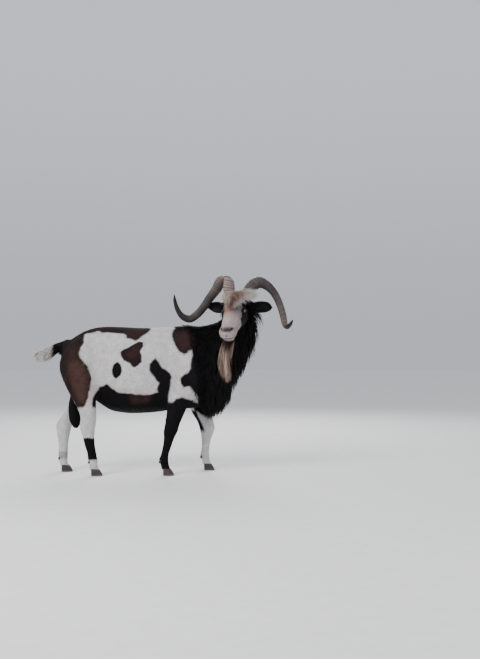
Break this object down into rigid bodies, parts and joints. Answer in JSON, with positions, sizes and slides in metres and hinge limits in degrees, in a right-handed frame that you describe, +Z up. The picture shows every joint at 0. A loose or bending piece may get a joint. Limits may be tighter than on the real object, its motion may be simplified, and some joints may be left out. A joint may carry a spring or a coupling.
{
  "type": "tauern pied goat",
  "caption": "Life-size standing pied goat buck with swept horns, beard and shaggy neck, head turned to its right.",
  "frame": {"origin": "on the floor under the middle of the goat's bounding box", "axes": "+X towards the head end, +Y to the goat's left, +Z up; the goat looks back over towards -Y"},
  "size_m": [1.3854, 0.4484, 1.0634],
  "materials": {
    "pied_coat": "short dense fur, white with dark brown and black patches",
    "dark_coat": "long brown-black hair",
    "long_pale_hair": "long cream and tan hair",
    "face": "very short fur, cream blaze, black cheeks, bare pinkish nose",
    "horn": "ringed grey-brown horn, darker towards the tips, faint sheen",
    "hoof": "dull dark horn",
    "eye": "wet, amber with a level black bar of a pupil"
  },
  "bodies": {
    "root": {"beard": "long_pale_hair", "ear_left": "dark_coat", "ear_right": "dark_coat", "eye_left": "eye", "eye_right": "eye", "forehoof_left": "hoof", "forehoof_right": "hoof", "foreleg_left": "pied_coat", "foreleg_right": "pied_coat", "forelock": "long_pale_hair", "head": "face", "hindhoof_left": "hoof", "hindhoof_right": "hoof", "hindleg_left": "pied_coat", "hindleg_right": "pied_coat", "horn_left": "horn", "horn_right": "horn", "neck": "dark_coat", "scrotum": "dark_coat", "tail": "dark_coat", "torso": "pied_coat"}
  },
  "joints": []
}
